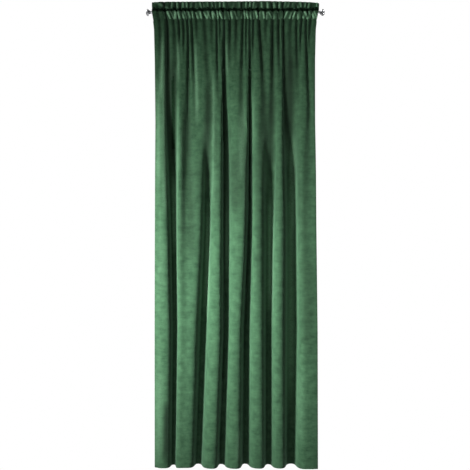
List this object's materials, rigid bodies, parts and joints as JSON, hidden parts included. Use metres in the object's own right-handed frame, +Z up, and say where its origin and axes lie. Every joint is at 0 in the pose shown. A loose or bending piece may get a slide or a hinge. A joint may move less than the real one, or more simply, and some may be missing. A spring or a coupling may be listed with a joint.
{
  "type": "velvet curtain on rod",
  "caption": "Long green velvet curtain with a standing gathered header, hung by its rod pocket from a slim metal rod with faceted crystal finials.",
  "frame": {"origin": "the middle of the rod's axis, which is where the brackets carry the part", "axes": "+Z up; +X along the rod, to the right as seen from the front; the curtain's front faces -Y and the wall is on the +Y side"},
  "size_m": [0.9542, 0.0911, 2.4908],
  "materials": {
    "velvet": "short brushed pile with a pale sheen on the folds",
    "rod_metal": "satin plated steel",
    "collar_chrome": "polished chrome",
    "crystal": "cut clear crystal with flat facets"
  },
  "bodies": {
    "root": {"curtain": "velvet", "rod": "rod_metal", "collar_left": "collar_chrome", "collar_right": "collar_chrome", "crystal_left": "crystal", "crystal_right": "crystal"}
  },
  "joints": []
}
